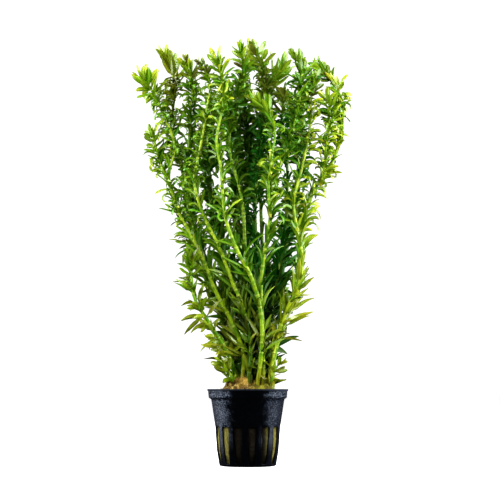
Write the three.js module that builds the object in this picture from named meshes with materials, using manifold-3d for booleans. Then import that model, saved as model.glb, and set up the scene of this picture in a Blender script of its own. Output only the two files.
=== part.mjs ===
// A potted elodea: a bunch of leafy water plant shoots rooted in rock wool, in a slotted net pot.
// Millimetres, +Z up, the origin at the centre of the flat underside of the pot.
// Seen from the front, +X is to the right and the front of the bunch is towards -Y.

import * as THREE from 'three';
import { mergeVertices } from 'three/addons/utils/BufferGeometryUtils.js';
import Module from 'manifold-3d';

const wasm = await Module();
wasm.setup();

// Driving dimensions

const clearance = 0.3;

const pot = {
  height: 51.6,
  rimRadius: 27.5,
  rimDepth: 1,
  rimWall: 1.2,
  collarRadius: 26.95,
  collarHeight: 6,
  collarWall: 1.4,
  collarTaper: 0.6,
  shoulderRadius: 24.8,
  shoulderDrop: 1.2,
  waistRadius: 22.05,
  waistHeight: 26.6,
  bellyRadius: 20.9,
  bellyHeight: 10.4,
  footRadius: 19.4,
  footEdge: 0.9,
  wall: 1,
  floor: 1.2,
  step: 0.4,
  sides: 28,
};

const slot = {
  count: 14,
  firstTurn: 8,
  top: 26.3,
  bottom: 1.6,
  topWidth: 6.2,
  bottomWidth: 4,
};

const drain = { count: 7, firstTurn: 21, inner: 10, outer: 16, width: 2.6 };

const wool = {
  sides: 12,
  top: 50.8,
  shoulderDrop: 0.4,
  edgeHeight: 48.6,
  collarHeight: 44.8,
  shoulderRadius: 17,
  crestRadius: 10.5,
  middleRadius: 5,
  mound: { x: -6, y: -3, height: 8, spreadX: 6.2, spreadY: 7.5 },
};

const stem = {
  sides: 4,
  footRadius: 1.25,
  tipRadius: 0.8,
  jointSwell: 1.4,
  jointLength: 2.4,
  jointTwist: 0.12,
};

// Leaves are longest near the pot, shorter from the middle of the bunch up, and long again at the tips.
// crowding is how far the leaves of one shoot may press into each other's room.
const leaf = {
  firstHeight: 70,
  middleHeight: 150,
  upperHeight: 270,
  lowLength: 12.5,
  middleLength: 8.5,
  upperLength: 6,
  lowAngle: 48,
  upperAngle: 78,
  angleScatter: 12,
  lengthScatter: 0.18,
  lowSpacing: 16.8,
  upperSpacing: 12,
  thickness: 2.8,
  crowding: 1.2,
  tipThickness: 0.2,
};

// The crowded last joints of a shoot, by their distance from the growing tip
const crown = [
  { back: 11, length: 8, angle: 55 },
  { back: 6, length: 8, angle: 45 },
  { back: 2.2, length: 6.4, angle: 30 },
];

const crownRoom = 16;
const bareFoot = 4.5;

// Where a leaf's own place is taken it grows aside by one of these turns, or stays this much shorter
const turnsAside = [0, 0.28, -0.28, 0.5, -0.5];
const shorterShares = [1, 0.8, 0.62, 0.5];

// The centre lines of the shoots, from the foot in the rock wool to the growing tip

const shoots = [
  {
    name: 'shoot_01',
    route: [[-4, -6, 54], [-3, -7, 76], [-10, -8, 95], [-21, -9, 116], [-32, -11, 143], [-48, -12, 174],
      [-54, -11, 196], [-50, -10, 216], [-59, -10, 241], [-65, -9, 254], [-75, -9, 268]],
  },
  {
    name: 'shoot_02',
    route: [[-7, 4.5, 53], [-16, 7, 92], [-30, 12, 130], [-40, 15, 165], [-45, 16, 199], [-53, 17, 236],
      [-52, 17, 262], [-55, 18, 280], [-61, 18, 288]],
  },
  {
    name: 'shoot_03',
    route: [[-2.5, 1.5, 54], [-12, 3, 99], [-29, 4, 136], [-37, 5, 161], [-41, 5, 202], [-40, 4, 240],
      [-39, 4, 268], [-46, 4, 282]],
  },
  {
    name: 'shoot_04',
    route: [[0, -9, 53], [2, -11, 81], [-3, -14, 106], [-11, -17, 125], [-19, -19, 146], [-31, -20, 171],
      [-36, -20, 192], [-32, -19, 215], [-28, -17, 240], [-26, -17, 259], [-34, -17, 276]],
  },
  {
    name: 'shoot_05',
    route: [[-3.5, 8.5, 51], [-9, 18, 113], [-23, 27, 171], [-28, 31, 221], [-26, 34, 262]],
  },
  {
    name: 'shoot_06',
    route: [[6, -10, 51], [9, -14, 75], [9, -18, 100], [4, -22, 122], [-7, -25, 144], [-15, -27, 166],
      [-18, -27, 199], [-21, -27, 217], [-16, -27, 250], [-22, -27, 277]],
  },
  {
    name: 'shoot_07',
    route: [[5.5, 11, 50], [7, 22, 114], [-7, 33, 171], [-9, 36, 222], [-18, 39, 274]],
  },
  {
    name: 'shoot_08',
    route: [[1.5, -4, 53], [2, -6, 88], [-1, -8, 112], [-2, -11, 149], [-4, -13, 180], [-12, -14, 213],
      [-11, -15, 241], [-2, -16, 268], [-6, -16, 284]],
  },
  {
    name: 'shoot_09',
    route: [[1.5, 6.5, 52], [0, 17, 113], [0, 24, 185], [0, 26, 230], [-5, 27, 272]],
  },
  {
    name: 'shoot_10',
    route: [[4, 1, 52], [7, 3, 92], [7, 5, 133], [5, 6, 175], [9, 6, 217], [13, 6, 252], [8, 6, 282],
      [0, 6, 290]],
  },
  {
    name: 'shoot_11',
    route: [[10, 2.5, 51], [15, 6, 99], [21, 9, 133], [27, 12, 176], [27, 12, 218], [24, 12, 242],
      [27, 12, 262]],
  },
  {
    name: 'shoot_12',
    route: [[10.5, -8, 51], [10, -12, 91], [9, -16, 124], [15, -20, 165], [19, -19, 194], [28, -18, 217],
      [34, -16, 241], [36, -14, 274], [28, -14, 281]],
  },
  {
    name: 'shoot_13',
    route: [[6.5, 6, 51], [10, 13, 113], [10, 17, 148], [9, 20, 191], [10, 21, 227], [15, 21, 262],
      [30, 21, 295]],
  },
  {
    name: 'shoot_14',
    route: [[12, 7.5, 51], [19, 18, 113], [30, 26, 171], [37, 30, 221], [36, 32, 262]],
  },
  {
    name: 'shoot_15',
    route: [[14, -4.5, 51], [18, -6, 80], [26, -9, 104], [35, -12, 122], [36, -14, 145], [31, -14, 177],
      [36, -13, 198], [42, -12, 226], [44, -10, 254], [48, -10, 269]],
  },
  {
    name: 'shoot_16',
    route: [[16, 0.5, 50], [19, 0, 78], [26.5, 1, 100], [33, 2, 123], [36, 2, 145], [41, 0, 177],
      [51, -1, 197], [60, 0, 211], [66, 0, 238], [62, 1, 260], [46, 2, 278]],
  },
  {
    name: 'low_shoot',
    route: [[-7, -1.5, 54], [-12, -6, 73], [-26, -13, 96], [-36, -16, 113], [-38, -17, 131],
      [-40, -17, 145]],
  },
  {
    name: 'side_shoot_left',
    route: [[-56.5, -8.2, 197], [-60, -6, 205], [-64, -6, 220], [-68, -6, 231]],
  },
  {
    name: 'side_shoot_middle',
    route: [[15, -23.8, 166], [14, -26.5, 185], [16, -28, 206], [18, -28, 225], [10, -28, 241],
      [-2, -28, 248]],
  },
  {
    name: 'side_shoot_right',
    route: [[50, -4, 190], [53, -7, 205], [54, -9, 221], [58, -10, 238], [52, -10, 254]],
  },
  { name: 'young_shoot_left', route: [[-9, -7, 52], [-12, -10, 62], [-18, -12, 69]], firstHeight: 60 },
  { name: 'young_shoot_right', route: [[14.5, -9.5, 49.5], [17, -11, 62], [22, -12, 70]], firstHeight: 57 },
];

const sideShoots = ['side_shoot_left', 'side_shoot_middle', 'side_shoot_right'];

const material = {
  pot: new THREE.MeshStandardMaterial({ color: 0x15171c, roughness: 0.38, metalness: 0 }),
  wool: new THREE.MeshStandardMaterial({ color: 0x8d7648, roughness: 0.95, metalness: 0 }),
  shoot: new THREE.MeshStandardMaterial({ color: 0x5f9a1c, roughness: 0.5, metalness: 0 }),
};

// Solids and geometries

function toSolid(geometry) {
  geometry.deleteAttribute('normal');
  geometry.deleteAttribute('uv');
  const merged = mergeVertices(geometry, 1e-3);
  return new wasm.Manifold(new wasm.Mesh({
    numProp: 3,
    vertProperties: merged.attributes.position.array,
    triVerts: new Uint32Array(merged.index.array),
  }));
}

function toGeometry(solid) {
  const mesh = solid.getMesh();
  const geometry = new THREE.BufferGeometry();
  geometry.setAttribute('position', new THREE.BufferAttribute(mesh.vertProperties, 3));
  geometry.setIndex(new THREE.BufferAttribute(mesh.triVerts, 1));
  return shaded(geometry);
}

function shaded(geometry) {
  const loose = geometry.index ? geometry.toNonIndexed() : geometry;
  loose.computeVertexNormals();
  return loose;
}

// A profile of [radius, height] points turned about the Z axis
function turned(profile, sides) {
  const points = profile.map(([radius, height]) => new THREE.Vector2(radius, height));
  return new THREE.LatheGeometry(points, sides).rotateX(Math.PI / 2);
}

// The pot: a thin wall with a waist, a shoulder and a collar, fourteen side slots and a drained floor

function potProfile() {
  const shoulderHeight = pot.height - pot.collarHeight;
  const outside = [
    [0, 0],
    [pot.footRadius - pot.footEdge, 0],
    [pot.footRadius, pot.footEdge],
    [pot.bellyRadius, pot.bellyHeight],
    [pot.waistRadius, pot.waistHeight],
    [pot.shoulderRadius, shoulderHeight - pot.shoulderDrop],
    [pot.collarRadius - pot.collarTaper, shoulderHeight],
    [pot.collarRadius, pot.height - pot.rimDepth - pot.step],
    [pot.rimRadius, pot.height - pot.rimDepth],
    [pot.rimRadius, pot.height],
  ];
  const inside = [
    [pot.rimRadius - pot.rimWall, pot.height],
    [pot.collarRadius - pot.collarWall, shoulderHeight + pot.shoulderDrop],
    [pot.shoulderRadius - pot.wall, shoulderHeight - pot.step],
    [pot.waistRadius - pot.wall, pot.waistHeight],
    [pot.bellyRadius - pot.wall, pot.bellyHeight],
    [pot.footRadius - pot.wall, pot.floor],
    [0, pot.floor],
  ];
  return outside.concat(inside);
}

// A tapered bar from inside the wall to outside it, turned to its place round the pot
function slotCutter(turn) {
  const outline = new THREE.Shape([
    new THREE.Vector2(-slot.bottomWidth / 2, slot.bottom),
    new THREE.Vector2(slot.bottomWidth / 2, slot.bottom),
    new THREE.Vector2(slot.topWidth / 2, slot.top),
    new THREE.Vector2(-slot.topWidth / 2, slot.top),
  ]);
  const inner = pot.footRadius - 2 * pot.wall;
  const bar = new THREE.ExtrudeGeometry(outline, { depth: pot.rimRadius - inner, bevelEnabled: false });
  bar.rotateX(Math.PI / 2);
  bar.translate(0, -inner, 0);
  bar.rotateZ(THREE.MathUtils.degToRad(turn));
  return bar;
}

function drainCutter(turn) {
  const bar = new THREE.BoxGeometry(drain.width, drain.outer - drain.inner, 4 * pot.floor);
  bar.translate(0, -(drain.inner + drain.outer) / 2, 0);
  bar.rotateZ(THREE.MathUtils.degToRad(turn));
  return bar;
}

function potGeometry() {
  let solid = toSolid(turned(potProfile(), pot.sides));
  for (let i = 0; i < slot.count; i += 1) {
    solid = solid.subtract(toSolid(slotCutter(slot.firstTurn + (i * 360) / slot.count)));
  }
  for (let i = 0; i < drain.count; i += 1) {
    solid = solid.subtract(toSolid(drainCutter(drain.firstTurn + (i * 360) / drain.count)));
  }
  return toGeometry(solid);
}

// The rock wool: it fills the pot, and a torn mound of it stands above the rim at the left

function moundRise(x, y) {
  const across = (x - wool.mound.x) / wool.mound.spreadX;
  const along = (y - wool.mound.y) / wool.mound.spreadY;
  return wool.mound.height * Math.exp(-(across * across + along * along) / 2);
}

function woolGeometry() {
  const gap = pot.wall + 2 * clearance;
  const profile = [
    [0, pot.floor + clearance],
    [pot.footRadius - gap, pot.floor + clearance],
    [pot.bellyRadius - gap, pot.bellyHeight],
    [pot.waistRadius - gap, pot.waistHeight],
    [pot.shoulderRadius - gap, wool.collarHeight],
    [pot.shoulderRadius - gap, wool.edgeHeight],
    [wool.shoulderRadius, wool.top - wool.shoulderDrop],
    [wool.crestRadius, wool.top],
    [wool.middleRadius, wool.top],
    [0, wool.top],
  ];
  const geometry = turned(profile, wool.sides);
  const position = geometry.attributes.position;
  for (let i = 0; i < position.count; i += 1) {
    const isTop = position.getZ(i) > wool.edgeHeight + clearance;
    if (isTop) position.setZ(i, position.getZ(i) + moundRise(position.getX(i), position.getY(i)));
  }
  let solid = toSolid(geometry);
  for (const shoot of shoots) {
    if (!sideShoots.includes(shoot.name)) solid = solid.subtract(socketCutter(shoot));
  }
  return toGeometry(solid);
}

// The hole that a shoot's foot stands in, a clearance wider and deeper than the foot
function socketCutter(shoot) {
  const line = centreLine(shoot);
  const foot = line.getPointAt(0);
  const along = line.getTangentAt(0);
  const length = 3 * wool.mound.height;
  const radius = stem.footRadius + clearance * Math.SQRT2;
  const hole = new THREE.CylinderGeometry(radius, radius, length, stem.sides);
  hole.rotateX(Math.PI / 2).translate(0, 0, length / 2 - clearance);
  const { right, back } = crossFrame(along);
  hole.applyMatrix4(new THREE.Matrix4().makeBasis(right, back, along).setPosition(foot));
  return toSolid(hole);
}

// The shoots: a four-sided stem with swollen joints, and a leaf drawn out of each face of a joint

function centreLine(shoot) {
  const points = shoot.route.map(([x, y, z]) => new THREE.Vector3(x, y, z));
  return new THREE.CatmullRomCurve3(points, false, 'centripetal');
}

// Two directions square to a stem: no stem runs straight to the front or the back
function crossFrame(along) {
  const right = new THREE.Vector3(0, 1, 0).cross(along).normalize();
  const back = along.clone().cross(right);
  return { right, back };
}

function mix(from, to, share) {
  return from + (to - from) * Math.min(1, Math.max(0, share));
}

// How far a height has come from one level to another, as a share
function rise(height, from, to) {
  return (height - from) / (to - from);
}

// A steady scatter between -1 and 1
function scatter(number) {
  const value = Math.sin(number * 12.9898) * 43758.5453;
  return 2 * (value - Math.floor(value)) - 1;
}

function stemRadius(share) {
  return mix(stem.footRadius, stem.tipRadius, share);
}

function leafLength(height) {
  if (height < leaf.middleHeight) {
    return mix(leaf.lowLength, leaf.middleLength, rise(height, leaf.firstHeight, leaf.middleHeight));
  }
  return mix(leaf.middleLength, leaf.upperLength, rise(height, leaf.middleHeight, leaf.upperHeight));
}

// The joints of a shoot, each with the length and the opening angle of its leaves
function jointsOf(shoot, line) {
  const total = line.getLength();
  const firstHeight = shoot.firstHeight ?? leaf.firstHeight;
  const joints = [];
  let at = bareFoot;
  while (at < total - crownRoom) {
    const height = line.getPointAt(at / total).z;
    const share = rise(height, leaf.firstHeight, leaf.upperHeight);
    if (height > firstHeight) {
      joints.push({ at, length: leafLength(height), angle: mix(leaf.lowAngle, leaf.upperAngle, share) });
      at += mix(leaf.lowSpacing, leaf.upperSpacing, share);
    } else {
      at += bareFoot;
    }
  }
  const crownJoints = crown.map(({ back, length, angle }) => ({ at: total - back, length, angle }));
  return joints.concat(crownJoints.filter((joint) => joint.at > bareFoot));
}

// The rings of a stem: two at each joint, and each joint turned half a face from the last
function ringsOf(shoot, line) {
  const total = line.getLength();
  const rings = [];
  const addRing = (at, swell, turn, joint) => {
    const share = at / total;
    const centre = line.getPointAt(share);
    const along = line.getTangentAt(share);
    rings.push({ centre, along, ...crossFrame(along), radius: stemRadius(share) * swell, turn, joint });
  };
  addRing(0, 1, 0, null);
  jointsOf(shoot, line).forEach((joint, index) => {
    const turn = (index % 2) * (Math.PI / stem.sides) + stem.jointTwist * scatter(shoot.seed + index);
    addRing(joint.at - stem.jointLength / 2, stem.jointSwell, turn, joint);
    addRing(joint.at + stem.jointLength / 2, stem.jointSwell, turn, null);
  });
  return rings;
}

function ringPoint(ring, angle, radius) {
  return ring.centre.clone()
    .addScaledVector(ring.right, radius * Math.cos(angle))
    .addScaledVector(ring.back, radius * Math.sin(angle));
}

// The gap between two tapered rods, each a line from start to end with a radius at either end
function rodGap(a, b) {
  const u = a.end.clone().sub(a.start);
  const v = b.end.clone().sub(b.start);
  const w = a.start.clone().sub(b.start);
  const uu = u.dot(u);
  const uv = u.dot(v);
  const vv = v.dot(v);
  const determinant = uu * vv - uv * uv;
  const clamp = (value) => Math.min(1, Math.max(0, value));
  let s = determinant > 1e-9 ? clamp((uv * v.dot(w) - vv * u.dot(w)) / determinant) : 0;
  const t = clamp((uv * s + v.dot(w)) / vv);
  s = clamp((uv * t - u.dot(w)) / uu);
  const between = w.addScaledVector(u, s).addScaledVector(v, -t);
  return between.length() - mix(a.startRadius, a.endRadius, s) - mix(b.startRadius, b.endRadius, t);
}

// Everything that has its place already, so that a new leaf keeps clear of it.
// Leaves of one shoot crowd closer together.
const placed = [];

function placeStem(shoot) {
  shoot.rings.slice(1).forEach((ring, index) => {
    const before = shoot.rings[index];
    placed.push({
      owner: shoot.name,
      ring: index,
      start: before.centre,
      end: ring.centre,
      startRadius: before.radius,
      endRadius: ring.radius,
    });
  });
}

function isClear(rod) {
  const { x, y, z } = rod.end;
  const overWool = z > wool.top + moundRise(x, y) + leaf.thickness;
  return overWool && placed.every((other) => {
    const own = other.owner === rod.owner;
    const besideBase = own && Math.abs(other.ring - rod.ring) < 2;
    return besideBase || rodGap(rod, other) > (own ? clearance - leaf.crowding : clearance);
  });
}

// The leaf on one face of a joint: it turns a little aside, or stays short, where its place is taken
function placeLeaf(shoot, index, side) {
  const ring = shoot.rings[index];
  const after = shoot.rings[index + 1];
  const { length, angle } = ring.joint;
  const seed = shoot.seed * 31 + index * 7 + side;
  const middle = ring.turn + ((side + 0.5) * 2 * Math.PI) / stem.sides;
  const opening = THREE.MathUtils.degToRad(angle + leaf.angleScatter * scatter(seed));
  const grown = length * (1 + leaf.lengthScatter * scatter(seed + 0.5));
  const faceRadius = ring.radius * Math.cos(Math.PI / stem.sides);
  for (const share of shorterShares) {
    for (const aside of turnsAside) {
      const out = ringPoint(ring, middle + aside, 1).sub(ring.centre);
      const start = ring.centre.clone().lerp(after.centre, 0.5).addScaledVector(out, faceRadius);
      const end = start.clone()
        .addScaledVector(out, grown * share * Math.sin(opening))
        .addScaledVector(ring.along, grown * share * Math.cos(opening));
      const rod = {
        owner: shoot.name,
        ring: index,
        start,
        end,
        startRadius: leaf.thickness / 2,
        endRadius: leaf.tipThickness / 2,
      };
      if (isClear(rod)) {
        placed.push(rod);
        return end;
      }
    }
  }
  return null;
}

function shootGeometry(shoot) {
  const { rings } = shoot;
  const sides = stem.sides;
  const vertices = [];
  const faces = [];
  rings.forEach((ring) => {
    for (let side = 0; side < sides; side += 1) {
      vertices.push(ringPoint(ring, ring.turn + (side * 2 * Math.PI) / sides, ring.radius));
    }
  });
  for (let side = 1; side < sides - 1; side += 1) faces.push([0, side + 1, side]);
  for (let index = 0; index < rings.length - 1; index += 1) {
    for (let side = 0; side < sides; side += 1) {
      const next = (side + 1) % sides;
      const corners = [side, next, next + sides, side + sides].map((corner) => corner + index * sides);
      const leafTip = rings[index].joint ? placeLeaf(shoot, index, side) : null;
      if (leafTip) {
        vertices.push(leafTip);
        corners.forEach((corner, i) => faces.push([corner, corners[(i + 1) % 4], vertices.length - 1]));
      } else {
        faces.push([corners[0], corners[1], corners[2]], [corners[0], corners[2], corners[3]]);
      }
    }
  }
  const last = (rings.length - 1) * sides;
  vertices.push(shoot.line.getPointAt(1));
  for (let side = 0; side < sides; side += 1) {
    faces.push([last + side, last + ((side + 1) % sides), vertices.length - 1]);
  }
  const geometry = new THREE.BufferGeometry().setFromPoints(vertices);
  geometry.setIndex(faces.flat());
  return shaded(geometry);
}

function named(name, geometry, finish) {
  const mesh = new THREE.Mesh(geometry, finish);
  mesh.name = name;
  return mesh;
}

// The whole plant: all stems take their place first, then the leaves, from the front to the back

shoots.forEach((shoot, index) => {
  shoot.seed = index + 1;
  shoot.line = centreLine(shoot);
  shoot.rings = ringsOf(shoot, shoot.line);
  placeStem(shoot);
});

const depthOf = (shoot) => shoot.line.getPointAt(0.6).y;
const frontToBack = [...shoots].sort((a, b) => depthOf(a) - depthOf(b));

const plant = new THREE.Group();
plant.add(named('pot', potGeometry(), material.pot));
plant.add(named('rock_wool', woolGeometry(), material.wool));
for (const shoot of frontToBack) {
  plant.add(named(shoot.name, shootGeometry(shoot), material.shoot));
}

export default plant;
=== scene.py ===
# A potted elodea: leafy water plant shoots in a black net pot of rock wool.
# Lengths are millimetres until a mesh is made, and metres in Blender.

import math
from functools import partial

import bmesh
import bpy
import numpy as np
from mathutils import Matrix, Vector, noise


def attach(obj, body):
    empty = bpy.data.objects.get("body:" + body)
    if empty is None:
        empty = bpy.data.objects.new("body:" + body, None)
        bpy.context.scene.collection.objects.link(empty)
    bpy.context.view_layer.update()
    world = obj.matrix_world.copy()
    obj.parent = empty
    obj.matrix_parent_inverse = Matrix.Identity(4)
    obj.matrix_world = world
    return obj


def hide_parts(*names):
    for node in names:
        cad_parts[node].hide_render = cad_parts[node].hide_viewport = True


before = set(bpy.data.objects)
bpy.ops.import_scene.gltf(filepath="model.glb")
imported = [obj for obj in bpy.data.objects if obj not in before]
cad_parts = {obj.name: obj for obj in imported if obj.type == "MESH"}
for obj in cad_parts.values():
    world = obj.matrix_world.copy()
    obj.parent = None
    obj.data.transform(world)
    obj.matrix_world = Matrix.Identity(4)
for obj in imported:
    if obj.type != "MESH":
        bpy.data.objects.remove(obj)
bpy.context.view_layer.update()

MM = 0.001
random = np.random.default_rng(7)

# The photograph's camera

FRAME_PIXELS = 500
FOCAL_PIXELS = 1392
SENSOR_WIDTH = 36
FAR_CLIP = 200
CAMERA_PLACE = (1.5, -950, 50)
CAMERA_PITCH = math.radians(5.8)

# The shoots: route is the centre line of each from its foot to its tip, and the rest is how it has grown.
# Heights are over the underside of the pot. A side is 1 for the right and -1 for the left.
#   bare: stretches of height where the front of the stem shows
#   clear, gaps: stretches and a side where most leaves, or all of them, are missing
#   first: the height of its lowest whorl; hidden: the height below which its stem is painted in shade
#   dark, olive: how far its leaves are from fresh green; dark also deepens their painted shade, and below 0
#       paints them lighter, a painted light; deep: how much more painted shade they get
#   brown: the share of its leaves that has withered
#   stem, slim: how pale its stem is, and how thick beside the others
#   size, long, wide: its leaves beside the others' in length, in length high up, and in width
#   lush: how close its whorls stand; sparse: the share of leaves that is missing low down
#   upright: how much steeper its leaves stand below the middle; splay: how many degrees further they open
#   hug: the length below its tip where the leaves lie close to the stem
#   tip_back: how far short of its line the stem ends; tip_levels: the whorls in its crown
#   tip_size, tip_width, tip_open, tip_curl, tip_fresh, tip_olive, tip_brown: the leaves of its crown

SHOOTS = {
    "shoot_01": dict(
        route=[(-4, -6, 54), (-3, -7, 76), (-10, -8, 95), (-21, -9, 116), (-32, -11, 143), (-48, -12, 174),
               (-54, -11, 196), (-50, -10, 216), (-59, -10, 241), (-65, -9, 254), (-75, -9, 268)],
        bare=[(60, 168), (203, 233)], clear=[(92, 128, -1)], gaps=[(188, 208, 1)], dark=0.05, brown=0.02,
        stem=0.6, long=0.95, lush=1.1,
        tip_size=1.35, tip_width=1.2, tip_open=1.2, tip_fresh=1.7, tip_olive=0.1, tip_brown=0.0),
    "shoot_02": dict(
        route=[(-7, 4.5, 53), (-16, 7, 92), (-30, 12, 130), (-40, 15, 165), (-45, 16, 199), (-53, 17, 236),
               (-52, 17, 262), (-55, 18, 280), (-61, 18, 288)],
        clear=[(88, 128, -1), (236, 258, 1)], gaps=[(218, 230, 1), (190, 206, -1)], dark=0.5, olive=0.75,
        brown=0.5, long=1.1, lush=1.7,
        tip_size=1.3, tip_open=0.45, tip_olive=0.6, tip_brown=0.2),
    "shoot_03": dict(
        route=[(-2.5, 1.5, 54), (-12, 3, 99), (-29, 4, 136), (-37, 5, 161), (-41, 5, 202), (-40, 4, 240),
               (-39, 4, 268), (-46, 4, 282)],
        gaps=[(218, 230, -1)], first=52, dark=0.4, brown=0.06, long=1.05, lush=1.65,
        tip_size=0.95, tip_open=0.75, tip_olive=0.3),
    "shoot_04": dict(
        route=[(0, -9, 53), (2, -11, 81), (-3, -14, 106), (-11, -17, 125), (-19, -19, 146),
               (-31, -20, 171), (-36, -20, 192), (-32, -19, 215), (-28, -17, 240), (-26, -17, 259),
               (-34, -17, 276)],
        bare=[(112, 186), (215, 264)], hidden=92, dark=0.35, brown=0.15, stem=0.7, lush=1.2, sparse=0.15,
        tip_back=4, tip_size=0.65, tip_brown=1.0),
    "shoot_05": dict(
        route=[(-3.5, 8.5, 51), (-9, 18, 113), (-23, 27, 171), (-28, 31, 221), (-26, 34, 262)],
        gaps=[(184, 204, 1)], first=50, dark=0.8, brown=0.05, long=1.1, wide=1.35, lush=2.1),
    "shoot_06": dict(
        route=[(6, -10, 51), (9, -14, 75), (9, -18, 100), (4, -22, 122), (-7, -25, 144), (-15, -27, 166),
               (-18, -27, 199), (-21, -27, 217), (-16, -27, 250), (-22, -27, 277)],
        bare=[(55, 164), (198, 238)], gaps=[(184, 204, -1)], dark=0.15, brown=0.02, stem=0.5, lush=1.1,
        sparse=0.3,
        tip_back=5, tip_size=1.1, tip_open=0.95, tip_fresh=1.3, tip_olive=0.05),
    "shoot_07": dict(
        route=[(5.5, 11, 50), (7, 22, 114), (-7, 33, 171), (-9, 36, 222), (-18, 39, 274)],
        gaps=[(142, 176, 1)], first=50, dark=0.8, brown=0.05, long=1.1, wide=1.35, lush=2.0),
    "shoot_08": dict(
        route=[(1.5, -4, 53), (2, -6, 88), (-1, -8, 112), (-2, -11, 149), (-4, -13, 180), (-12, -14, 213),
               (-11, -15, 241), (-2, -16, 268), (-6, -16, 284)],
        bare=[(150, 222)], gaps=[(142, 174, 1), (198, 210, -1)], first=52, dark=0.7, brown=0.1, stem=0.3,
        lush=1.5, sparse=0.2, hug=24,
        tip_back=3, tip_size=0.9, tip_brown=0.15),
    "shoot_09": dict(
        route=[(1.5, 6.5, 52), (0, 17, 113), (0, 24, 185), (0, 26, 230), (-5, 27, 272)],
        gaps=[(138, 180, 1)], first=50, dark=0.8, brown=0.05, long=1.1, wide=1.35, lush=2.0),
    "shoot_10": dict(
        route=[(4, 1, 52), (7, 3, 92), (7, 5, 133), (5, 6, 175), (9, 6, 217), (13, 6, 252), (8, 6, 282),
               (0, 6, 290)],
        gaps=[(138, 180, 1)], first=50, dark=0.65, olive=0.35, brown=0.3, lush=1.7,
        tip_size=1.15, tip_open=0.85, tip_olive=0.35, tip_brown=0.3),
    "shoot_11": dict(
        route=[(10, 2.5, 51), (15, 6, 99), (21, 9, 133), (27, 12, 176), (27, 12, 218), (24, 12, 242),
               (27, 12, 262)],
        gaps=[(145, 176, -1), (186, 210, 1), (192, 206, -1)], first=50, dark=0.6, deep=0.35, brown=0.12,
        lush=1.4,
        tip_olive=0.4, tip_brown=0.4),
    "shoot_12": dict(
        route=[(10.5, -8, 51), (10, -12, 91), (9, -16, 124), (15, -20, 165), (19, -19, 194),
               (28, -18, 217), (34, -16, 241), (36, -14, 274), (28, -14, 281)],
        bare=[(55, 120)], gaps=[(138, 180, -1), (190, 206, 1)], dark=0.52, deep=0.3, olive=0.0, brown=0.03,
        stem=0.5, long=1.2, lush=1.35, sparse=0.3, upright=0.3, hug=12,
        tip_size=0.9, tip_open=0.34, tip_fresh=0.6),
    "shoot_13": dict(
        route=[(6.5, 6, 51), (10, 13, 113), (10, 17, 148), (9, 20, 191), (10, 21, 227), (12, 21, 255),
               (21, 21, 273), (36, 21, 286)],
        gaps=[(138, 180, -1), (138, 180, 1)], first=50, dark=0.45, olive=0.15, brown=0.05, long=1.2,
        lush=1.5,
        tip_back=18, tip_size=1.75, tip_width=0.95, tip_open=0.6, tip_fresh=0.85, tip_olive=0.2),
    "shoot_14": dict(
        route=[(12, 7.5, 51), (19, 18, 113), (30, 26, 171), (37, 30, 221), (36, 32, 262)],
        clear=[(0, 80, 1)], gaps=[(186, 210, -1)], first=50, dark=0.75, deep=0.3, brown=0.05, long=1.1,
        wide=1.35, lush=1.9),
    "shoot_15": dict(
        route=[(14, -4.5, 51), (18, -6, 80), (26, -9, 104), (35, -12, 122), (36, -14, 145), (31, -14, 177),
               (36, -13, 198), (42, -12, 226), (44, -10, 254), (48, -10, 269)],
        bare=[(55, 78), (135, 262)], clear=[(0, 80, 1)], dark=-0.5, olive=0.28, brown=0.06, stem=0.95,
        long=1.1, wide=1.1, lush=0.85, upright=0.55,
        tip_size=0.85, tip_open=0.8, tip_brown=0.5),
    "shoot_16": dict(
        route=[(16, 0.5, 50), (19, 0, 78), (26.5, 1, 100), (33, 2, 123), (36, 2, 145), (41, 0, 177),
               (51, -1, 197), (60, 0, 211), (66, 0, 238), (62, 1, 260), (46, 2, 278)],
        bare=[(60, 80)], clear=[(0, 80, 1), (128, 160, 1), (196, 246, 1)], dark=-0.55, olive=0.28,
        brown=0.04, long=1.1, wide=1.15, lush=0.95, upright=0.6, hug=32,
        tip_open=0.75, tip_fresh=0.75),
    "low_shoot": dict(
        route=[(-7, -1.5, 54), (-12, -6, 73), (-26, -13, 96), (-36, -16, 113), (-38, -17, 131),
               (-40, -17, 145)],
        clear=[(0, 125, 1)], first=68, dark=0.12, olive=0.25, brown=0.04, stem=0.15, size=0.78, wide=1.25,
        lush=1.65, splay=28,
        tip_size=0.9, tip_fresh=0.5, tip_olive=0.2),
    "side_shoot_left": dict(
        route=[(-56.5, -8.2, 197), (-60, -6, 205), (-64, -6, 220), (-68, -6, 231)],
        dark=0.2, brown=0.05, slim=0.75, long=1.1, lush=1.3,
        tip_size=0.85, tip_open=1.2),
    "side_shoot_middle": dict(
        route=[(15, -23.8, 166), (14, -26.5, 185), (16, -28, 206), (18, -28, 225), (10, -28, 241),
               (-2, -28, 248)],
        bare=[(150, 190), (205, 235)], gaps=[(160, 182, -1)], dark=0.0, brown=0.0, stem=0.05, slim=0.72,
        hug=30,
        tip_back=8, tip_open=0.6),
    "side_shoot_right": dict(
        route=[(50, -4, 190), (53, -7, 205), (54, -9, 221), (58, -10, 238), (52, -10, 254)],
        dark=-0.5, olive=0.25, brown=0.04, slim=0.75, long=1.15, wide=1.1, lush=1.0,
        tip_open=1.2),
    "young_shoot_left": dict(
        route=[(-9, -7, 52), (-12, -10, 62), (-18, -12, 69)],
        clear=[(0, 63, 1)], first=61, dark=0.15, brown=0.1, slim=0.7, size=0.7,
        tip_back=3, tip_levels=3, tip_width=1.15, tip_open=1.0, tip_fresh=0.8, tip_olive=0.6),
    "young_shoot_right": dict(
        route=[(14.5, -9.5, 49.5), (17, -11, 62), (22, -12, 70)],
        first=54, dark=-0.2, olive=0.4, brown=0.0, slim=0.7, size=0.62, lush=2.2,
        tip_back=3, tip_levels=3, tip_width=0.75, tip_open=1.4, tip_curl=2.2, tip_olive=0.7,
        tip_brown=0.15),
}

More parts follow.
